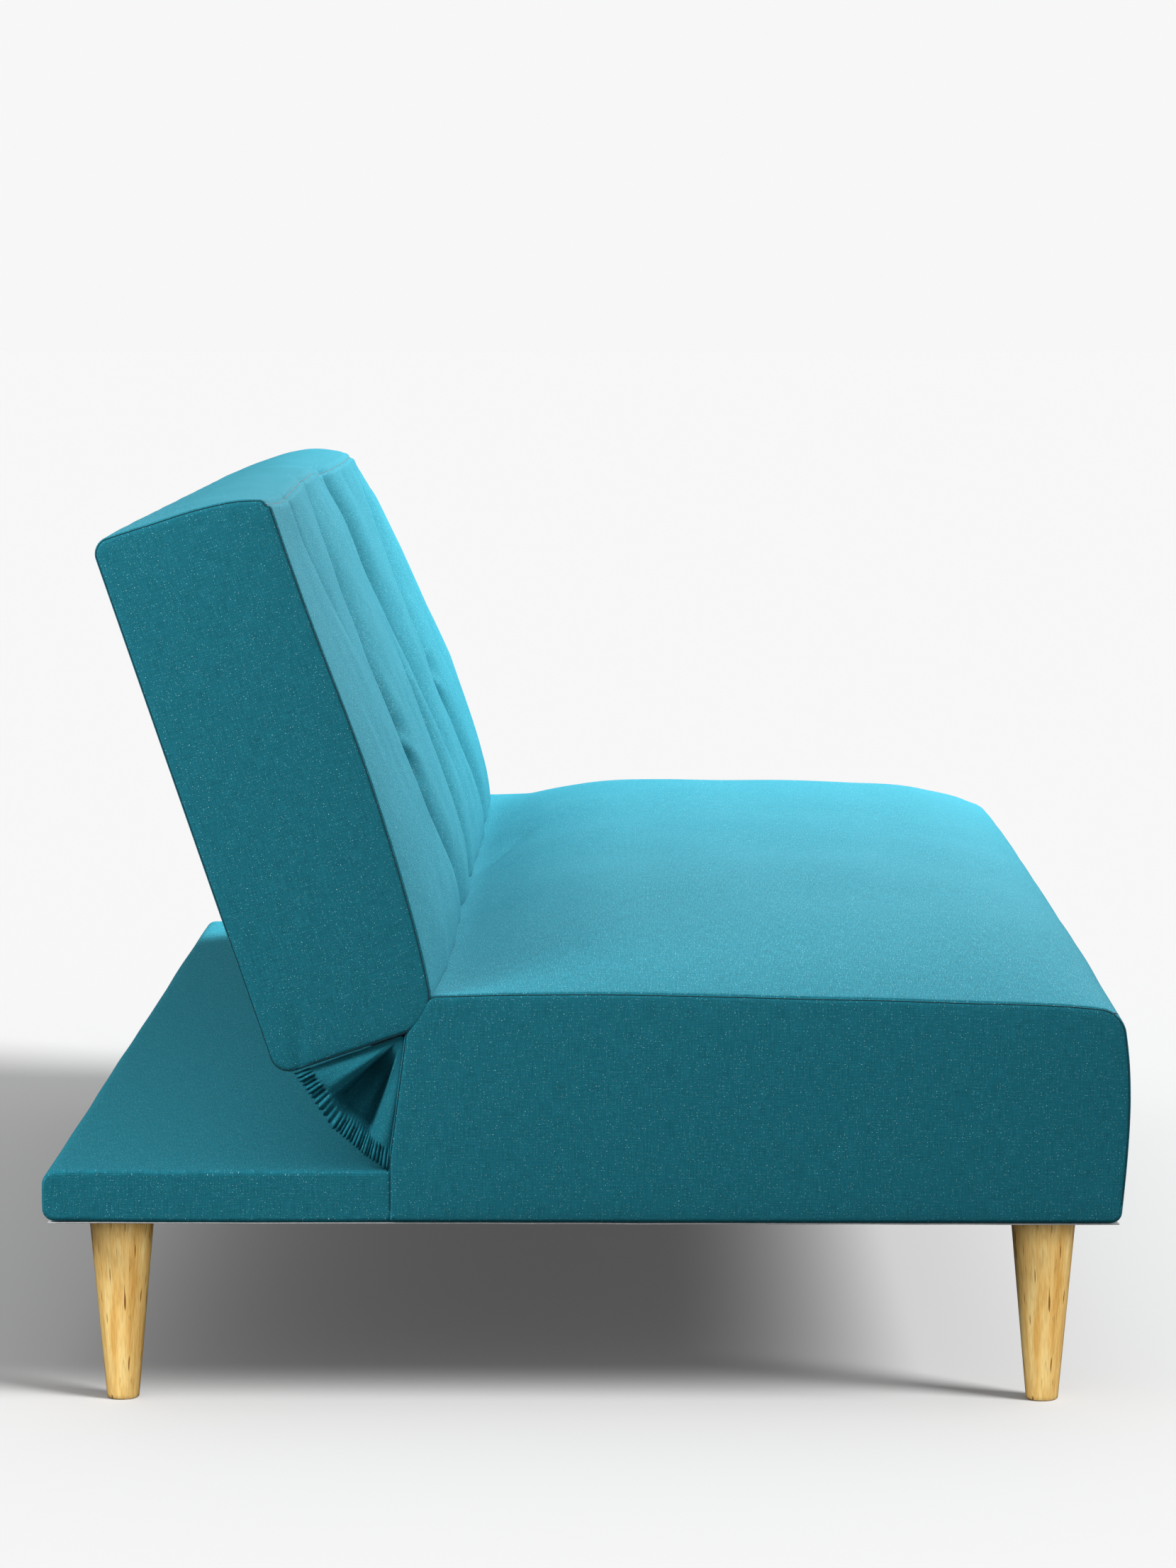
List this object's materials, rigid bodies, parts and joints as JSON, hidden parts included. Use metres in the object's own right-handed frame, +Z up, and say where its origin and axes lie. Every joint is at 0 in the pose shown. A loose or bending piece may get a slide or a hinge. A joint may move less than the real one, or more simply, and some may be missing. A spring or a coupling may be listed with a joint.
{
  "type": "futon sofa bed",
  "caption": "Upholstered click-clack sofa bed on turned wooden legs; the tufted backrest folds flat onto a ledge behind the seat to make a bed.",
  "frame": {"origin": "on the floor, under the middle of the sofa's box", "axes": "+X along the sofa, the seat's front towards -Y and the folded backrest towards +Y, +Z up"},
  "size_m": [1.7, 0.9076, 0.7608],
  "materials": {
    "teal_fabric": "matt linen-look plain weave with pale flecks",
    "wadding": "white polyester wadding",
    "foam": "cream polyurethane foam",
    "lining": "pale grey non-woven lining",
    "pine": "sawn and planed pine",
    "plywood": "thin plywood",
    "leg_wood": "clear-lacquered turned hardwood",
    "zinc_steel": "zinc plated",
    "spring_steel": "oiled spring wire",
    "twine": "nylon twine and toggle"
  },
  "bodies": {
    "base": {"underside_lining": "lining", "base_rail_left": "pine", "base_rail_right": "pine", "base_rail_front": "pine", "base_rail_middle": "pine", "base_rail_back": "pine", "corner_block_front_left": "pine", "corner_block_front_right": "pine", "corner_block_back_left": "pine", "corner_block_back_right": "pine", "leg_front_left": "leg_wood", "leg_front_right": "leg_wood", "leg_back_left": "leg_wood", "leg_back_right": "leg_wood", "leg_bolt_front_left": "zinc_steel", "leg_bolt_front_right": "zinc_steel", "leg_bolt_back_left": "zinc_steel", "leg_bolt_back_right": "zinc_steel", "leg_nut_front_left": "zinc_steel", "leg_nut_front_right": "zinc_steel", "leg_nut_back_left": "zinc_steel", "leg_nut_back_right": "zinc_steel", "seat_board_left": "pine", "seat_board_right": "pine", "seat_board_front": "pine", "seat_board_back": "pine", "seat_brace": "pine", "seat_spring_1": "spring_steel", "seat_spring_2": "spring_steel", "seat_spring_3": "spring_steel", "seat_spring_4": "spring_steel", "seat_spring_5": "spring_steel", "seat_spring_6": "spring_steel", "seat_foam": "foam", "seat_wadding": "wadding", "seat_cover": "teal_fabric", "ledge_board": "plywood", "ledge_pad": "wadding", "ledge_cover": "teal_fabric", "hinge_seat_bar_left": "zinc_steel", "hinge_seat_bar_right": "zinc_steel", "hinge_rivet_left": "zinc_steel", "hinge_rivet_right": "zinc_steel", "gusset_left": "teal_fabric", "gusset_right": "teal_fabric"},
    "backrest": {"back_board_left": "pine", "back_board_right": "pine", "back_board_bottom": "pine", "back_board_top": "pine", "back_brace": "pine", "back_panel": "plywood", "back_foam": "foam", "back_wadding": "wadding", "back_cover": "teal_fabric", "back_lining": "lining", "tuft_tie_left": "twine", "tuft_tie_right": "twine", "hinge_back_bar_left": "zinc_steel", "hinge_back_bar_right": "zinc_steel"}
  },
  "joints": [
    {"name": "backrest_fold", "type": "hinge", "parent": "base", "child": "backrest", "pos_m": [0, 0.1617, 0.3105], "axis": [-1, 0, 0], "range_deg": [-8, 71.2], "deforming": ["gusset_left", "gusset_right"]}
  ]
}
